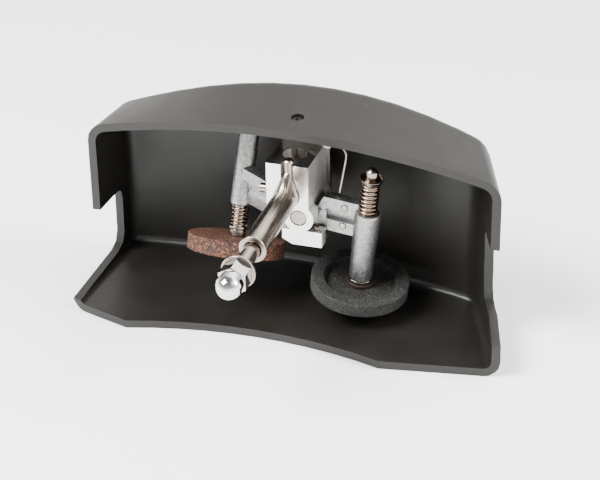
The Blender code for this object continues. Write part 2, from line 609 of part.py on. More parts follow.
def make_arm_pins(mats, right):
    front = -ARM_THICK / 2 - 0.35 * MM
    back = ARM_THICK / 2 - 0.2 * MM
    for place, z in ARM_PINS.items():
        rod("arm_pin_" + place, 1.65 * MM, (ARM_PIN_X, front, z), (ARM_PIN_X, back, z), mats["stainless"],
            right, steps=14)


def make_torsion_spring(mats):
    coil = []
    for i in range(int(TORSION_TURNS * COIL_STEPS) + 1):
        turn = i / COIL_STEPS
        angle = math.pi / 2 - 2 * math.pi * turn
        coil.append(Vector((SPRING_POST.x + TORSION_R * math.cos(angle), TORSION_BACK - TORSION_PITCH * turn,
                            SPRING_POST.z + TORSION_R * math.sin(angle))))
    tail = [Vector(at) * MM for at in ((3.0, 25.6, 90.2), (8.5, 25.6, 92.6))]
    leg = [Vector(at) * MM for at in ((21.0, 19.6, 90.6), (22.7, 19.2, 89.2), (24.0, 18.8, 87.2),
                                      (24.4, 18.6, 85.0), (21.8, 15.9, 66.4))]
    wire("torsion_spring", tail + coil + leg, TORSION_WIRE_R, mats["stainless"])


def make_spring_post(mats):
    x, z = SPRING_POST.x, SPRING_POST.z
    post = rod("spring_post", 2.4 * MM, (x, 18.3 * MM, z), (x, BLOCK_DEPTH - 0.1 * MM, z), mats["stainless"])
    join(post, rod("post_tail", 1.5 * MM, (x, 29 * MM, z), (x, 35 * MM, z)),
         rod("post_head", 2.8 * MM, (x, 16.8 * MM, z), (x, 18.5 * MM, z)))


# ---- spindles and stones --------------------------------------------------------------------------
def make_grinding_parts(mats, frame):
    r = GRIND_SPINDLE_R
    low, high = GRIND_STONE
    top = GRIND_BARREL[1]
    shoulder = high + 3.6 * MM
    profile = [(0, top + 7.5 * MM), (r - MM, top + 7.5 * MM), (r, top + 6.5 * MM), (r, shoulder),
               (r + 1.1 * MM, shoulder), (r + 1.1 * MM, high + GAP), (r - 0.6 * MM, high + GAP),
               (r - 0.6 * MM, low - 3.4 * MM), (0, low - 3.4 * MM)]
    turned("grinding_spindle", profile, mats["stainless"], frame, SMALL_STEPS)
    hole = r - 0.3 * MM
    outer = GRIND_STONE_R
    turned("grinding_stone", [(outer - 1.2 * MM, high), (outer, high - 1.2 * MM), (outer, low + 0.8 * MM),
                              (outer - 0.8 * MM, low), (hole, low), (hole, high)],
           mats["brown_grit"], frame, STONE_STEPS, ring=True)
    nut = rod("grinding_nut", STONE_NUT_R, (0, 0, low - 3.1 * MM), (0, 0, low - GAP), mats["stainless"],
              frame, 6)
    cut(nut, rod("grinding_nut_hole", hole, (0, 0, low - 5 * MM), (0, 0, low + MM), None, frame))
    washer("grinding_clip", r + GAP, r + 1.7 * MM, top + GAP, top + 1.5 * MM, mats["spring"], frame,
           SMALL_STEPS)
    seat = GRIND_SPRING[0]
    washer("grinding_spring_seat", r + GAP, 4.7 * MM, seat - 1.7 * MM, seat - 0.7 * MM, mats["stainless"],
           frame, SMALL_STEPS)
    coil = coil_points(3.95 * MM, seat, GRIND_SPRING[1] - 0.3 * MM, 5)
    wire("grinding_spring", coil, 0.5 * MM, mats["spring"], frame)
    for name, start in (("grinding_bush_lower", 0.5 * MM), ("grinding_bush_upper", top - 10.5 * MM)):
        washer(name, r + 0.2 * MM, BORE_R - GAP, start, start + BUSH_LENGTH, mats["bronze"], frame,
               SMALL_STEPS)


def make_truing_parts(mats, frame):
    r = TRUE_SPINDLE_R
    low, high = TRUE_STONE
    floor = TRUE_RECESS_FLOOR
    seat = TRUE_SPRING[1] + 0.8 * MM
    tip = 64.5 * MM
    profile = [(0, tip), (r - 1.4 * MM, tip - 0.2 * MM), (r, tip - 1.5 * MM), (r, floor + GAP),
               (r - 0.6 * MM, floor + GAP), (r - 0.6 * MM, low - 3.2 * MM), (0, low - 3.2 * MM)]
    turned("truing_spindle", profile, mats["stainless"], frame, SMALL_STEPS)
    hole = r - 0.3 * MM
    outer = TRUE_STONE_R
    outline = [(outer - MM, high), (outer, high - MM), (outer, low + 0.8 * MM), (outer - 0.8 * MM, low),
               (hole, low), (hole, floor), (TRUE_RECESS_R - 0.6 * MM, floor), (TRUE_RECESS_R, high)]
    turned("truing_stone", outline, mats["grey_grit"], frame, STONE_STEPS, ring=True)
    nut = rod("truing_nut", STONE_NUT_R, (0, 0, low - 2.9 * MM), (0, 0, low - GAP), mats["stainless"],
              frame, 6)
    cut(nut, rod("truing_nut_hole", hole, (0, 0, low - 5 * MM), (0, 0, low + MM), None, frame))
    washer("truing_hub_washer", r + GAP, 7.0 * MM, floor + GAP, floor + 1.9 * MM, mats["fibre"], frame)
    washer("truing_end_ring", r + GAP, 6.1 * MM, floor + 2.2 * MM, TRUE_BARREL[0] - GAP, mats["stainless"],
           frame)
    cup = [(5.9, 2.5), (5.2, 0), (3.45, 0), (3.45, 1.0), (4.8, 1.0), (5.4, 2.5)]
    cup_outline = [(radius * MM, seat + z * MM) for radius, z in cup]
    turned("truing_spring_seat", cup_outline, mats["stainless"], frame, ring=True)
    washer("truing_clip", r + GAP, 4.3 * MM, seat + 1.3 * MM, seat + 2.2 * MM, mats["spring"], frame,
           SMALL_STEPS)
    coil = coil_points(4.2 * MM, TRUE_SPRING[0] + 0.3 * MM, TRUE_SPRING[1] - 0.1 * MM, 7.5, 10)
    wire("truing_spring", coil, 0.45 * MM, mats["spring"], frame)
    for name, start in (("truing_bush_lower", 1.5 * MM), ("truing_bush_upper", TRUE_BARREL[1] - 10.5 * MM)):
        washer(name, r + 0.2 * MM, BORE_R - GAP, start, start + BUSH_LENGTH, mats["bronze"], frame,
               SMALL_STEPS)


def main():
    mats = make_materials()
    stud_root = Vector((0, 0, STUD_HEIGHT))
    stud_frame = add_frame("stud_frame", stud_root, roll=Matrix.Rotation(STUD_DROOP, 4, "X"))
    grind = add_frame("grinding_axis", GRIND_POINT, GRIND_AXIS)
    true = add_frame("truing_axis", TRUE_POINT, TRUE_AXIS)
    make_cover(mats)
    make_cover_screw(mats)
    make_block(mats, stud_frame)
    make_hanger(mats)
    make_hanger_screws(mats)
    make_axle(mats)
    make_stud(mats, stud_frame)
    make_lock_screw(mats)
    make_stop_plate(mats)
    right = make_bracket(mats, grind, true)
    make_arm_pins(mats, right)
    make_torsion_spring(mats)
    make_spring_post(mats)
    make_grinding_parts(mats, grind)
    make_truing_parts(mats, true)
    bpy.context.view_layer.update()


clear_scene()
PARTS = new_collection("blade_sharpener")
CUTTERS = new_collection("cutters")
main()
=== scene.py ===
"""Looks of the blade sharpener head: finished surfaces, smooth springs, gritty stones, light and camera."""
import json
import math

import bmesh
import bpy
from mathutils import Matrix, Vector, noise

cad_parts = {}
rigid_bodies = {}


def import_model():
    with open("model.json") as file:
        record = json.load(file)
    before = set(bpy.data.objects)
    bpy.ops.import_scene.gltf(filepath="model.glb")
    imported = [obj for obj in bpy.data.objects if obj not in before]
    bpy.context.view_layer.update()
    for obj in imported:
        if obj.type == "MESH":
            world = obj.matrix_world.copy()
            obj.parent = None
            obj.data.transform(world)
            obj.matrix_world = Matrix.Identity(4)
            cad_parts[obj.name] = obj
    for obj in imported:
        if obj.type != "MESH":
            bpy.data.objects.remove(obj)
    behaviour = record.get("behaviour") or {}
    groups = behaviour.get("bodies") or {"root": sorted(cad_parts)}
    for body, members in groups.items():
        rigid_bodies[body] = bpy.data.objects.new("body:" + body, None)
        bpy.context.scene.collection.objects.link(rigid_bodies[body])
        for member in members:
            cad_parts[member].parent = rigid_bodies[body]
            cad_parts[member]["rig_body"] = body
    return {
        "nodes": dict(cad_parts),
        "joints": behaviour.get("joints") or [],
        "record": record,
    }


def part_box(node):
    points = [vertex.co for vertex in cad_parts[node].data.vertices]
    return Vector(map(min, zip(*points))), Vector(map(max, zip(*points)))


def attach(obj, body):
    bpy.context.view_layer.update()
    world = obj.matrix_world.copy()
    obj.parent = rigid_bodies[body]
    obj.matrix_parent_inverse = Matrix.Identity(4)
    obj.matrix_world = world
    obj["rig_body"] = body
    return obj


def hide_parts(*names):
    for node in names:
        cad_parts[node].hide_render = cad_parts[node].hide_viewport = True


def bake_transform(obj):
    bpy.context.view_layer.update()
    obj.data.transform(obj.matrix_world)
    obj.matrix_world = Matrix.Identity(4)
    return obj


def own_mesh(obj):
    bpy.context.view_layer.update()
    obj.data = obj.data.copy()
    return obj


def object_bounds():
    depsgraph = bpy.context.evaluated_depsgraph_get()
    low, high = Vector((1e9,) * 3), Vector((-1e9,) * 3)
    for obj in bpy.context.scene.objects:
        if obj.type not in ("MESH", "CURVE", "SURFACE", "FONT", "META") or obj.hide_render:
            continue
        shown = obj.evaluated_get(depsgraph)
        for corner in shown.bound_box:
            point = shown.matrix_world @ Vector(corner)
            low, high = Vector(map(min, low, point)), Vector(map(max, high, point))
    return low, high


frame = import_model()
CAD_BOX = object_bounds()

MM = 0.001
BODY_OF = {node: obj["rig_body"] for node, obj in frame["nodes"].items()}
SLOT_OF = {part["node"]: part["material_slot"] for part in frame["record"]["subparts"]}
LOOK_OF = {**SLOT_OF, "hanger_plate": "plated"}      # darker in the photograph than the cast parts
JOINTS = {joint["name"]: joint for joint in frame["joints"]}

# ---- edges and shading ----------------------------------------------------------------------------
WELD = 0.00001
FLAT_ANGLE = math.radians(0.6)
SMOOTH_ANGLE = math.radians(32)
STONE_SMOOTH_ANGLE = math.radians(60)
WIRE_SMOOTH_ANGLE = math.radians(50)
EDGE_ANGLE = math.radians(38)
EDGE_SEGMENTS = 3
SHADING_WEIGHT = 80                  # how strongly the large faces lead the shading
EDGE_ROUND = {                       # how far each piece's sharp edges are broken
    "cover": 0.7 * MM,
    "carrier_block": 0.3 * MM,
    "stop_plate": 0.35 * MM,
    "rocker_bracket": 0.45 * MM,
    "acorn_nut": 0.25 * MM,
    "clamp_washer": 0.25 * MM,
    "shoulder_ring": 0.5 * MM,
    "clamp_stud": 0.25 * MM,
    "pivot_axle": 0.5 * MM,
    "hanger_plate": 0.3 * MM,
    "arm_pin_upper": 0.3 * MM,
    "arm_pin_lower": 0.3 * MM,
    "grinding_nut": 0.3 * MM,
    "truing_nut": 0.3 * MM,
    "stud_lock_screw": 0.25 * MM,
    "truing_end_ring": 0.25 * MM,
    "truing_hub_washer": 0.3 * MM,
    "plate_grub_screw": 0.2 * MM,
    "stop_plate_screw": 0.2 * MM,
    "spring_post": 0.3 * MM,
    "cover_screw": 0.2 * MM,
    "grinding_spindle": 0.25 * MM,
    "grinding_spring_seat": 0.15 * MM,
    "grinding_clip": 0.15 * MM,
    "truing_spindle": 0.25 * MM,
    "truing_spring_seat": 0.15 * MM,
    "truing_clip": 0.15 * MM,
}

# ---- stones ---------------------------------------------------------------------------------------
GRIT_STEPS = 220                     # points round a stone
GRIT_COARSE = 900                    # the two layers of grit, in cycles for each metre
GRIT_FINE = 2100
GRIT_FINE_SHARE = 0.6
ARC_STEPS = 3                        # points added at a rounded corner
SIDE_TO_ARC = 2.2                    # a side is at least this many times as long as an arc's reach
GRINDING_HOLE = 2.8 * MM
GRINDING_CORNER = 0.6 * MM
GRINDING_STEP = 0.8 * MM             # spacing of the points along the profile
GRINDING_GRIT = 0.11 * MM            # how far the grit moves them
TRUING_HOLE = 2.9 * MM
TRUING_RECESS_FOOT = 17.4 * MM
TRUING_RECESS_RIM = 18.3 * MM
TRUING_RECESS_DEPTH = 3.0 * MM
TRUING_CORNER = 0.35 * MM
TRUING_STEP = 0.7 * MM
TRUING_GRIT = 0.06 * MM

# ---- springs --------------------------------------------------------------------------------------
COIL_STEPS = 36                      # points in one turn
WIRE_SIDES = 4                       # bevel resolution of a wire
END_TURNS = 0.9                      # turns that lie close together at each end
CLOSED_PITCH = 1.12                  # their pitch, in wire thicknesses
COILS = [                            # spring, slide, turns, wire thickness, whether its top end stays
    ("grinding_spring", "grinding_slide", 5.5, 1.0 * MM, True),
    ("truing_spring", "truing_slide", 8.0, 0.9 * MM, False),
]
TORSION_RADIUS = 3.65 * MM
TORSION_WIRE_RADIUS = 0.6 * MM
TORSION_TURNS = 3.1
TORSION_BACK = 25.5 * MM             # y of the coil's rear end
TORSION_PITCH = 1.6 * MM
# Points of the wire before and after the coil, in millimetres.
TORSION_TAIL = [(3.0, 25.6, 90.2), (8.5, 25.6, 92.6), (12.2, 25.6, 94.8)]
TORSION_BEND = [(21.0, 19.6, 90.6), (22.9, 19.2, 89.0), (24.1, 18.8, 87.3), (24.45, 18.65, 85.6),
                (24.3, 18.4, 83.6)]
TORSION_FOOT = (21.8, 15.9, 66.4)
LEG_STEPS = 8

# ---- stage, light and camera values ---------------------------------------------------------------
FLOOR_HALF = 6                       # half its side, in metres
FLOOR_DROP = 0.1 * MM
SKY_STRENGTH = 5.0
SKY_TINT = (1.0, 0.985, 0.965)
# Each sky is a list of (sine of elevation, radiance).
FRONT_SKY = [(0.0, 3.2), (0.12, 3.0), (0.26, 0.9), (0.6, 0.5), (1.0, 0.3)]
BACK_SKY = [(0.0, 3.2), (0.12, 3.0), (0.25, 1.2), (0.45, 1.6), (0.65, 4.6), (0.8, 5.0), (0.92, 0.8)]
BACK_SIDE = (0.7, 0.714, 0.0)        # where the brighter wall of the tent is
BACK_SHARE = [(0.0, 0.0), (0.6, 1.0)]                # its part of the sky, from beside it to facing it
LAMPS = [                            # azimuth and elevation in degrees, distance and size in metres, watts
    ("key", -53, 51, 1.3, 0.7, 66),
    ("side", 101, 31, 1.4, 0.6, 42),
]
CAMERA_AZIMUTH = 18.4
CAMERA_ELEVATION = 29.5
CAMERA_ROLL = -0.95
CAMERA_DISTANCE = 0.9756
CAMERA_TARGET = (0.008, -0.0055, 0.049)
CAMERA_LENS = 120
CAMERA_SENSOR = 36


# ---- node building helpers ------------------------------------------------------------------------
def new_material(name):
    """A new material with its node tree and its Principled shader."""
    material = bpy.data.materials.new(name)
    material.use_nodes = True
    tree = material.node_tree
    return material, tree, tree.nodes["Principled BSDF"]


def add_node(tree, kind, **values):
    """A shader node; values name its properties or, where there is no such property, its inputs."""
    node = tree.nodes.new(kind)
    for key, value in values.items():
        if hasattr(node, key):
            setattr(node, key, value)
        else:
            node.inputs[key.replace("_", " ")].default_value = value
    return node


def feed(tree, shader, **sources):
    """Links each source to the shader's input of that name."""
    for key, source in sources.items():
        tree.links.new(source, shader.inputs[key.replace("_", " ")])


def place(tree, scale=(1, 1, 1)):
    """The piece's own coordinates, which at rest are the shared frame's, stretched by scale."""
    where = add_node(tree, "ShaderNodeTexCoord")
    mapping = add_node(tree, "ShaderNodeMapping", Scale=scale)
    tree.links.new(where.outputs["Object"], mapping.inputs["Vector"])
    return mapping.outputs["Vector"]


def noise_at(tree, scale, detail, roughness=0.5, stretch=(1, 1, 1)):
    """Cloudy noise from 0 to 1; scale is in cycles for each metre."""
    node = add_node(tree, "ShaderNodeTexNoise", Scale=scale, Detail=detail, Roughness=roughness)
    tree.links.new(place(tree, stretch), node.inputs["Vector"])
    return node.outputs["Fac"]


def cells_at(tree, scale, feature="F1"):
    """Packed cells of random shape."""
    node = add_node(tree, "ShaderNodeTexVoronoi", feature=feature, Scale=scale, Randomness=1.0)
    tree.links.new(place(tree), node.inputs["Vector"])
    return node


def ramp(tree, source, stops):
    """Maps source through stops of (position, grey or colour)."""
    node = add_node(tree, "ShaderNodeValToRGB")
    elements = node.color_ramp.elements
    while len(elements) < len(stops):
        elements.new(0.5)
    for element, (position, colour) in zip(elements, stops):
        element.position = position
        element.color = (*colour, 1.0) if isinstance(colour, tuple) else (colour, colour, colour, 1.0)
    tree.links.new(source, node.inputs["Fac"])
    return node.outputs["Color"]


def math_node(tree, operation, *values):
    """The operation on values, each a number or an output of another node."""
    node = add_node(tree, "ShaderNodeMath", operation=operation)
    for socket, value in zip(node.inputs, values):
        if isinstance(value, (int, float)):
            socket.default_value = value
        else:
            tree.links.new(value, socket)
    return node.outputs["Value"]


def mix_colours(tree, share, first, second, blend="MIX"):
    """Share of second laid over first, each a number, a colour or an output of another node."""
    node = add_node(tree, "ShaderNodeMix", data_type="RGBA", blend_type=blend)
    sockets = (node.inputs["Factor"], node.inputs[6], node.inputs[7])
    for socket, value in zip(sockets, (share, first, second)):
        if isinstance(value, tuple):
            socket.default_value = (*value, 1.0)
        elif isinstance(value, (int, float)):
            socket.default_value = value
        else:
            tree.links.new(value, socket)
    return node.outputs[2]


def bump(tree, shader, height, strength, depth):
    """Surface relief from height; depth is in metres."""
    node = add_node(tree, "ShaderNodeBump", Strength=strength, Distance=depth)
    tree.links.new(height, node.inputs["Height"])
    tree.links.new(node.outputs["Normal"], shader.inputs["Normal"])


# ---- materials ------------------------------------------------------------------------------------
def moulding():
    """Warm dark grey moulding: fine spark-eroded grain, faint clouds of tint and a few dust specks."""
    material, tree, shader = new_material("moulding")
    cloud = noise_at(tree, 28, 5, 0.6)
    colour = ramp(tree, cloud, [(0.3, (0.0068, 0.0060, 0.0050)), (0.7, (0.0092, 0.0083, 0.0070))])
    dust = ramp(tree, cells_at(tree, 260).outputs["Distance"], [(0.0, 1.0), (0.085, 0.0)])
    rare = ramp(tree, noise_at(tree, 90, 2), [(0.58, 0.0), (0.62, 1.0)])
    dusty = math_node(tree, "MULTIPLY", dust, rare)
    satin = ramp(tree, noise_at(tree, 60, 4), [(0.25, 0.36), (0.75, 0.46)])
    feed(tree, shader, Base_Color=mix_colours(tree, dusty, colour, (0.22, 0.21, 0.19)), Roughness=satin)
    shader.inputs["Specular IOR Level"].default_value = 0.40
    bump(tree, shader, noise_at(tree, 2600, 2), 0.10, 0.1 * MM)
    return material


def metal(name, colour, rough, grain, relief, dimmest, stretch=(1, 1, 1)):
    """A metal whose tint slowly changes down to dimmest times colour, with fine scratches and relief."""
    material, tree, shader = new_material(name)
    shader.inputs["Metallic"].default_value = 1.0
    dark = tuple(channel * dimmest for channel in colour)
    tint = ramp(tree, noise_at(tree, 120, 4, 0.6), [(0.3, dark), (0.7, colour)])
    texture = noise_at(tree, grain, 3, 0.6, stretch)
    satin = ramp(tree, texture, [(0.3, rough * 0.75), (0.7, rough * 1.3)])
    feed(tree, shader, Base_Color=tint, Roughness=satin)
    bump(tree, shader, texture, relief, 0.1 * MM)
    return material


def facing_sideways(tree):
    """How far a face is turned to the left or the right, from 0 to 1."""
    surface = add_node(tree, "ShaderNodeNewGeometry")
    parts = add_node(tree, "ShaderNodeSeparateXYZ")
    tree.links.new(surface.outputs["True Normal"], parts.inputs["Vector"])
    return math_node(tree, "ABSOLUTE", parts.outputs["X"])


def machined():
    """Milled aluminium: fine on the front and top, coarse upright cutter passes on the side faces."""
    material, tree, shader = new_material("machined")
    shader.inputs["Metallic"].default_value = 1.0
    passes = add_node(tree, "ShaderNodeTexWave", wave_type="BANDS", bands_direction="Y",
                      wave_profile="SAW", Scale=75, Distortion=0.4, Detail=2, Detail_Scale=0.4)
    tree.links.new(place(tree), passes.inputs["Vector"])
    lines = noise_at(tree, 900, 3, 0.6, (0.25, 1.0, 0.03))
    height = math_node(tree, "ADD", math_node(tree, "MULTIPLY", passes.outputs["Fac"], 0.6), lines)
    worn = ramp(tree, lines, [(0.3, 0.0), (0.7, 1.0)])
    tone = mix_colours(tree, worn, (0.74, 0.72, 0.70), (0.90, 0.88, 0.86))
    coarse = ramp(tree, facing_sideways(tree), [(0.5, 0.0), (0.8, 1.0)])
    fine_finish = ramp(tree, lines, [(0.3, 0.13), (0.7, 0.24)])
    coarse_finish = ramp(tree, lines, [(0.3, 0.40), (0.7, 0.62)])
    feed(tree, shader, Base_Color=tone, Roughness=mix_colours(tree, coarse, fine_finish, coarse_finish))
    bump(tree, shader, height, 0.16, 0.18 * MM)
    return material


def cast():
    """Tumbled aluminium casting: pebbly skin with darker pits."""
    material, tree, shader = new_material("cast")
    shader.inputs["Metallic"].default_value = 1.0
    skin = noise_at(tree, 700, 6, 0.65)
    pit = ramp(tree, cells_at(tree, 900).outputs["Distance"], [(0.05, 0.0), (0.35, 1.0)])
    light = ramp(tree, skin, [(0.35, 0.0), (0.65, 1.0)])
    tone = mix_colours(tree, light, (0.22, 0.22, 0.22), (0.46, 0.46, 0.455))
    satin = ramp(tree, skin, [(0.3, 0.30), (0.7, 0.48)])
    feed(tree, shader, Base_Color=mix_colours(tree, pit, (0.20, 0.20, 0.20), tone), Roughness=satin)
    bump(tree, shader, math_node(tree, "ADD", skin, pit), 0.40, 0.15 * MM)
    return material


def grit(name, stops, scale, relief):
    """Bonded abrasive: packed grains of several colours, darkened towards their edges as painted shade in
    the pores between them.
    """
    material, tree, shader = new_material(name)
    cells = cells_at(tree, scale)
    edges = cells_at(tree, scale, "DISTANCE_TO_EDGE")
    pick = add_node(tree, "ShaderNodeSeparateColor")
    tree.links.new(cells.outputs["Color"], pick.inputs["Color"])
    grains = ramp(tree, pick.outputs["Red"], stops)
    cloud = ramp(tree, noise_at(tree, scale * 0.22, 3), [(0.35, 0.72), (0.65, 1.05)])
    grains = mix_colours(tree, 1.0, grains, cloud, "MULTIPLY")
    # painted shade: each grain darkens towards its edge, where the pores between grains lie
    painted_pore_shade = ramp(tree, edges.outputs["Distance"], [(0.0, 0.45), (0.12, 1.0)])
    satin = ramp(tree, pick.outputs["Green"], [(0.0, 0.55), (1.0, 0.95)])
    feed(tree, shader, Base_Color=mix_colours(tree, 1.0, grains, painted_pore_shade, "MULTIPLY"), Roughness=satin)
    lift = math_node(tree, "MULTIPLY", pick.outputs["Blue"], edges.outputs["Distance"])
    height = math_node(tree, "ADD", lift, noise_at(tree, scale * 2, 3))
    bump(tree, shader, height, relief, 0.3 * MM)
    return material


def matt(name, scale, detail, stops, roughness):
    """A matt material mottled between the two stops, with a light relief."""
    material, tree, shader = new_material(name)
    mottle = noise_at(tree, scale, detail)
    feed(tree, shader, Base_Color=ramp(tree, mottle, stops))
    shader.inputs["Roughness"].default_value = roughness
    bump(tree, shader, mottle, 0.2, 0.1 * MM)
    return material


def floor_paper():
    """Smooth white background paper."""
    material, tree, shader = new_material("floor_paper")
    tint = noise_at(tree, 6, 3)
    pale = ramp(tree, tint, [(0.3, (0.885, 0.885, 0.88)), (0.7, (0.90, 0.90, 0.895))])
    feed(tree, shader, Base_Color=pale)
    shader.inputs["Roughness"].default_value = 0.75
    return material


def make_materials():
    """One material for each look; the grits' stops run from the darkest grains to the lightest."""
    brown = [(0.0, (0.005, 0.003, 0.002)), (0.3, (0.030, 0.008, 0.003)), (0.6, (0.070, 0.018, 0.005)),
             (0.85, (0.130, 0.038, 0.010)), (1.0, (0.22, 0.090, 0.035))]
    grey = [(0.0, (0.005, 0.005, 0.0045)), (0.5, (0.015, 0.0145, 0.013)), (0.85, (0.030, 0.029, 0.026)),
            (1.0, (0.085, 0.082, 0.075))]
    dark_brown = [(0.3, (0.016, 0.010, 0.008)), (0.7, (0.034, 0.021, 0.016))]
    black = [(0.3, 0.018), (0.7, 0.035)]
    return {
        "moulding": moulding(),
        "machined": machined(),
        "cast": cast(),
        "stainless": metal("stainless", (0.37, 0.32, 0.28), 0.20, 420, 0.06, 0.80, (1, 6, 1)),
        "chrome": metal("chrome", (0.68, 0.67, 0.66), 0.045, 250, 0.015, 0.97),
        "bronze": metal("bronze", (0.42, 0.31, 0.23), 0.42, 900, 0.15, 0.75),
        "spring": metal("spring", (0.36, 0.25, 0.18), 0.20, 700, 0.06, 0.82),
        "brown_grit": grit("brown_grit", brown, 1250, 0.65),
        "grey_grit": grit("grey_grit", grey, 1800, 0.5),
        "fibre": matt("fibre", 1300, 4, dark_brown, 0.55),
        "rubber": matt("rubber", 1500, 3, black, 0.8),
        "plated": metal("plated", (0.17, 0.165, 0.155), 0.36, 700, 0.1, 0.75),
        "blackened": metal("blackened", (0.055, 0.052, 0.048), 0.40, 700, 0.1, 0.7),
    }


# ---- meshes and pieces ----------------------------------------------------------------------------
def link_object(name, data):
    """A new object with this data, in the scene."""
    obj = bpy.data.objects.new(name, data)
    bpy.context.scene.collection.objects.link(obj)
    return obj


def to_mesh(bm, name):
    """The finished mesh of bm, which is freed."""
    mesh = bpy.data.meshes.new(name)
    bm.to_mesh(mesh)
    bm.free()
    return mesh


def shade(mesh, angle=SMOOTH_ANGLE):
    """Smooth shading, with edges sharper than angle left sharp."""
    mesh.polygons.foreach_set("use_smooth", [True] * len(mesh.polygons))
    mesh.set_sharp_from_angle(angle=angle)


def add_piece(name, mesh, node, rides=True):
    """Shows mesh in place of the CAD node with its material, and on the node's own body if it rides."""
    obj = link_object(name, mesh)
    mesh.materials.clear()
    mesh.materials.append(MATERIALS[LOOK_OF[node]])
    if rides:
        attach(obj, BODY_OF[node])
    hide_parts(node)
    return obj


def welded_copy(node):
    """The node's mesh with its corners joined and its flat faces whole."""
    bm = bmesh.new()
    bm.from_mesh(frame["nodes"][node].data)
    bmesh.ops.remove_doubles(bm, verts=bm.verts, dist=WELD)
    bmesh.ops.dissolve_limit(bm, angle_limit=FLAT_ANGLE, verts=bm.verts, edges=bm.edges)
    return to_mesh(bm, node + "_finish")


def baked(obj):
    """The mesh of obj with its modifiers done; obj itself is removed."""
    bpy.context.view_layer.update()
    evaluated = obj.evaluated_get(bpy.context.evaluated_depsgraph_get())
    mesh = bpy.data.meshes.new_from_object(evaluated)
    bpy.data.objects.remove(obj)
    return mesh


def even_shading(node, mesh):
    """The same mesh with its shading led by the large faces, so that long thin ones leave no streaks."""
    source = link_object(node + "_shaded", mesh)
    weighted = source.modifiers.new("shading", "WEIGHTED_NORMAL")
    weighted.keep_sharp = True
    weighted.weight = SHADING_WEIGHT
    return baked(source)


def finish_edges(node, width):
    """Shows a copy of the node whose sharp edges are rounded, so that they catch the light."""
    source = link_object(node + "_source", welded_copy(node))
    edges = source.modifiers.new("edges", "BEVEL")
    edges.width = width
    edges.segments = EDGE_SEGMENTS
    edges.limit_method = "ANGLE"
    edges.angle_limit = EDGE_ANGLE
    edges.harden_normals = False
    mesh = baked(source)
    shade(mesh)
    add_piece(node + "_finish", even_shading(node, mesh), node)


def axis_frame(node, joint):
    """A matrix at the middle of the node, with +Z along the joint's axis and pointing up."""
    low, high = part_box(node)
    axis = Vector(JOINTS[joint]["axis"]).normalized()
    if axis.z < 0:
        axis.negate()
    turn = Vector((0, 0, 1)).rotation_difference(axis).to_matrix().to_4x4()
    return Matrix.Translation((low + high) / 2) @ turn


def extent(node, place_at):
    """Lowest height, highest height and largest radius of a node in the frame place_at."""
    back = place_at.inverted()
    points = [back @ vert.co for vert in frame["nodes"][node].data.vertices]
    heights = [point.z for point in points]
    radius = max(math.hypot(point.x, point.y) for point in points)
    return min(heights), max(heights), radius


# ---- stones ---------------------------------------------------------------------------------------
def lathe(name, profile, place_at, roughen):
    """Turns a closed profile of (radius, height); grit moves each corner by about roughen."""
    bm = bmesh.new()
    rings = []
    for i in range(GRIT_STEPS):
        angle = 2 * math.pi * i / GRIT_STEPS
        rings.append([bm.verts.new((r * math.cos(angle), r * math.sin(angle), z)) for r, z in profile])
    for first, second in zip(rings, rings[1:] + rings[:1]):
        for k in range(len(profile)):
            n = (k + 1) % len(profile)
            bm.faces.new((first[k], second[k], second[n], first[n]))
    bmesh.ops.recalc_face_normals(bm, faces=bm.faces)
    for vert in bm.verts:
        lift = noise.noise(vert.co * GRIT_COARSE) + GRIT_FINE_SHARE * noise.noise(vert.co * GRIT_FINE)
        vert.co += vert.normal * roughen * lift
    bmesh.ops.transform(bm, matrix=place_at, verts=bm.verts)
    mesh = to_mesh(bm, name)
    shade(mesh, STONE_SMOOTH_ANGLE)
    return mesh


def subdivide_profile(corners, step):
    """The closed profile's corners with extra points about step apart."""
    points = []
    for (r0, z0), (r1, z1) in zip(corners, corners[1:] + corners[:1]):
        count = max(1, round(math.hypot(r1 - r0, z1 - z0) / step))
        points += [(r0 + (r1 - r0) * i / count, z0 + (z1 - z0) * i / count) for i in range(count)]
    return points


def round_corners(corners, radius):
    """Each corner of the closed profile replaced by a small arc-like run of points."""
    points = []
    count = len(corners)
    for i, corner in enumerate(corners):
        here = Vector(corner)
        before = Vector(corners[i - 1]) - here
        after = Vector(corners[(i + 1) % count]) - here
        reach = min(radius, before.length / SIDE_TO_ARC, after.length / SIDE_TO_ARC)
        start = here + before.normalized() * reach
        end = here + after.normalized() * reach
        for k in range(ARC_STEPS + 1):
            t = k / ARC_STEPS
            point = start * (1 - t) ** 2 + here * 2 * t * (1 - t) + end * t ** 2
            points.append((point.x, point.y))
    return points


def make_grinding_stone():
    """A plain disc with a hole."""
    at = axis_frame("grinding_stone", "grinding_spin")
    low, high, radius = extent("grinding_stone", at)
    corners = [(GRINDING_HOLE, high), (radius, high), (radius, low), (GRINDING_HOLE, low)]
    profile = subdivide_profile(round_corners(corners, GRINDING_CORNER), GRINDING_STEP)
    mesh = lathe("grinding_stone_grit", profile, at, GRINDING_GRIT)
    add_piece("grinding_stone_grit", mesh, "grinding_stone")


def make_truing_stone():
    """A disc with a hole and a wide shallow recess in its upper face."""
    at = axis_frame("truing_stone", "truing_spin")
    low, high, radius = extent("truing_stone", at)
    bottom = high - TRUING_RECESS_DEPTH
    corners = [(TRUING_HOLE, bottom), (TRUING_RECESS_FOOT, bottom), (TRUING_RECESS_RIM, high),
               (radius, high), (radius, low), (TRUING_HOLE, low)]
    profile = subdivide_profile(round_corners(corners, TRUING_CORNER), TRUING_STEP)
    mesh = lathe("truing_stone_grit", profile, at, TRUING_GRIT)
    add_piece("truing_stone_grit", mesh, "truing_stone")


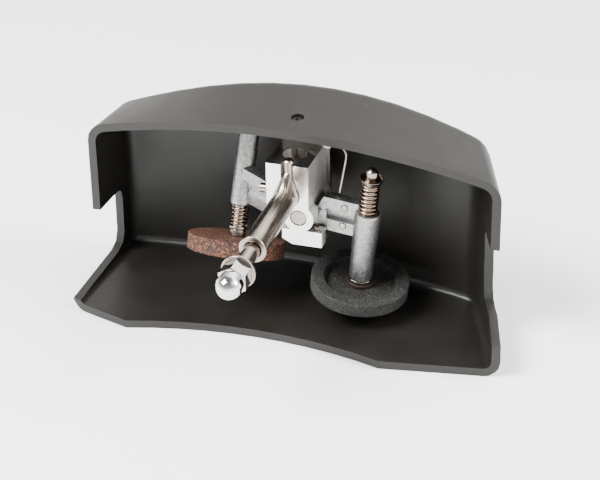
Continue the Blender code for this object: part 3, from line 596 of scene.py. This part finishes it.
# ---- springs --------------------------------------------------------------------------------------
def tube(name, points, radius):
    """A round wire through the points, as a mesh with closed ends."""
    curve = bpy.data.curves.new(name + "_path", "CURVE")
    curve.dimensions = "3D"
    curve.bevel_depth = radius
    curve.bevel_resolution = WIRE_SIDES
    curve.use_fill_caps = True
    spline = curve.splines.new("POLY")
    spline.points.add(len(points) - 1)
    for point, where in zip(spline.points, points):
        point.co = (*where, 1.0)
    mesh = baked(link_object(name + "_wire", curve))
    shade(mesh, WIRE_SMOOTH_ANGLE)
    return mesh


def spring_points(radius, low, high, turns, closed_pitch):
    """The wire's middle line in a compression coil whose first and last turns lie close together."""
    points = []
    pitch = (high - low - 2 * END_TURNS * closed_pitch) / (turns - 2 * END_TURNS)
    height = low
    for i in range(int(turns * COIL_STEPS) + 1):
        turn = i / COIL_STEPS
        angle = 2 * math.pi * turn
        points.append(Vector((radius * math.cos(angle), radius * math.sin(angle), height)))
        closed = turn < END_TURNS or turn > turns - END_TURNS
        height += (closed_pitch if closed else pitch) / COIL_STEPS
    return points


def make_coil(node, slide, turns, wire, anchored_at_top):
    """A compression spring round its slide's axis; anchored_at_top is not used."""
    at = axis_frame(node, slide)
    low, high, radius = extent(node, at)
    half = wire / 2
    points = spring_points(radius - half, low + half, high - half, turns, wire * CLOSED_PITCH)
    mesh = tube(node, [at @ point for point in points], half)
    coil = add_piece(node + "_coil", mesh, node)
    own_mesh(coil)


def make_torsion_spring():
    """Coil round its post with a bent leg that rests on the bracket's right arm."""
    post_low, post_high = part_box("spring_post")
    x = (post_low.x + post_high.x) / 2
    z = (post_low.z + post_high.z) / 2
    coil = []
    for i in range(int(TORSION_TURNS * COIL_STEPS) + 1):
        turn = i / COIL_STEPS
        angle = math.pi / 2 - 2 * math.pi * turn
        coil.append(Vector((x + TORSION_RADIUS * math.cos(angle), TORSION_BACK - TORSION_PITCH * turn,
                            z + TORSION_RADIUS * math.sin(angle))))
    tail = [Vector(at) * MM for at in TORSION_TAIL]
    bend = [Vector(at) * MM for at in TORSION_BEND]
    foot = Vector(TORSION_FOOT) * MM
    leg = [bend[-1].lerp(foot, i / LEG_STEPS) for i in range(1, LEG_STEPS + 1)]
    mesh = tube("torsion_spring", tail + coil + bend + leg, TORSION_WIRE_RADIUS)
    spring = add_piece("torsion_spring_wire", mesh, "torsion_spring", rides=False)
    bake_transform(spring)


def paint_cad_nodes():
    """Gives every CAD node its look; those that a finished piece replaces are hidden later."""
    for node, obj in frame["nodes"].items():
        obj.data.materials.clear()
        obj.data.materials.append(MATERIALS[LOOK_OF[node]])


# ---- stage, light and camera ----------------------------------------------------------------------
def make_stage():
    """A wide paper floor just under the cover's flat underside."""
    bm = bmesh.new()
    bmesh.ops.create_grid(bm, x_segments=1, y_segments=1, size=FLOOR_HALF)
    bmesh.ops.translate(bm, vec=(0, 0, -FLOOR_DROP), verts=bm.verts)
    mesh = to_mesh(bm, "floor")
    mesh.materials.append(floor_paper())
    floor = link_object("floor", mesh)


def sky_levels(sky):
    """A sky's stops as shares of its strength."""
    return [(height, level / SKY_STRENGTH) for height, level in sky]


def make_world():
    """A light tent: pale near the table, dark in front, with a bright wall behind and to the right."""
    world = bpy.data.worlds.new("studio")
    bpy.context.scene.world = world
    world.use_nodes = True
    tree = world.node_tree
    where = add_node(tree, "ShaderNodeTexCoord")
    parts = add_node(tree, "ShaderNodeSeparateXYZ")
    tree.links.new(where.outputs["Generated"], parts.inputs["Vector"])
    front = ramp(tree, parts.outputs["Z"], sky_levels(FRONT_SKY))
    back = ramp(tree, parts.outputs["Z"], sky_levels(BACK_SKY))
    side = add_node(tree, "ShaderNodeVectorMath", operation="DOT_PRODUCT")
    tree.links.new(where.outputs["Generated"], side.inputs[0])
    side.inputs[1].default_value = BACK_SIDE
    glow = mix_colours(tree, ramp(tree, side.outputs["Value"], BACK_SHARE), front, back)
    sky = tree.nodes["Background"]
    tree.links.new(mix_colours(tree, 1.0, glow, SKY_TINT, "MULTIPLY"), sky.inputs["Color"])
    sky.inputs["Strength"].default_value = SKY_STRENGTH


def outward(azimuth, elevation):
    """The direction away from the object, with azimuth turning from the front to the right."""
    across = math.cos(elevation)
    return Vector((math.sin(azimuth) * across, -math.cos(azimuth) * across, math.sin(elevation)))


def area_light(name, azimuth, elevation, distance, size, power):
    """A square lamp in the given direction from the object's middle, facing it."""
    low, high = CAD_BOX
    target = (low + high) / 2
    away = outward(math.radians(azimuth), math.radians(elevation))
    lamp = bpy.data.lights.new(name, "AREA")
    lamp.shape = "SQUARE"
    lamp.size = size
    lamp.energy = power
    obj = link_object(name, lamp)
    obj.location = target + away * distance
    obj.rotation_euler = away.to_track_quat("Z", "Y").to_euler()


def make_camera():
    """The camera that was matched to the photograph."""
    azimuth = math.radians(CAMERA_AZIMUTH)
    roll = math.radians(CAMERA_ROLL)
    back = outward(azimuth, math.radians(CAMERA_ELEVATION))
    right = Vector((math.cos(azimuth), math.sin(azimuth), 0))
    up = back.cross(right)
    across = right * math.cos(roll) + up * math.sin(roll)
    upright = up * math.cos(roll) - right * math.sin(roll)
    turn = Matrix((across, upright, back)).transposed().to_4x4()
    camera = bpy.data.cameras.new("camera")
    camera.lens = CAMERA_LENS
    camera.sensor_width = CAMERA_SENSOR
    obj = link_object("camera", camera)
    obj.matrix_world = Matrix.Translation(Vector(CAMERA_TARGET) + back * CAMERA_DISTANCE) @ turn
    bpy.context.scene.camera = obj


MATERIALS = make_materials()
paint_cad_nodes()
for cad_node, edge_width in EDGE_ROUND.items():
    finish_edges(cad_node, edge_width)
make_grinding_stone()
make_truing_stone()
for coil_values in COILS:
    make_coil(*coil_values)
make_torsion_spring()
make_stage()
make_world()
for lamp_values in LAMPS:
    area_light(*lamp_values)
make_camera()
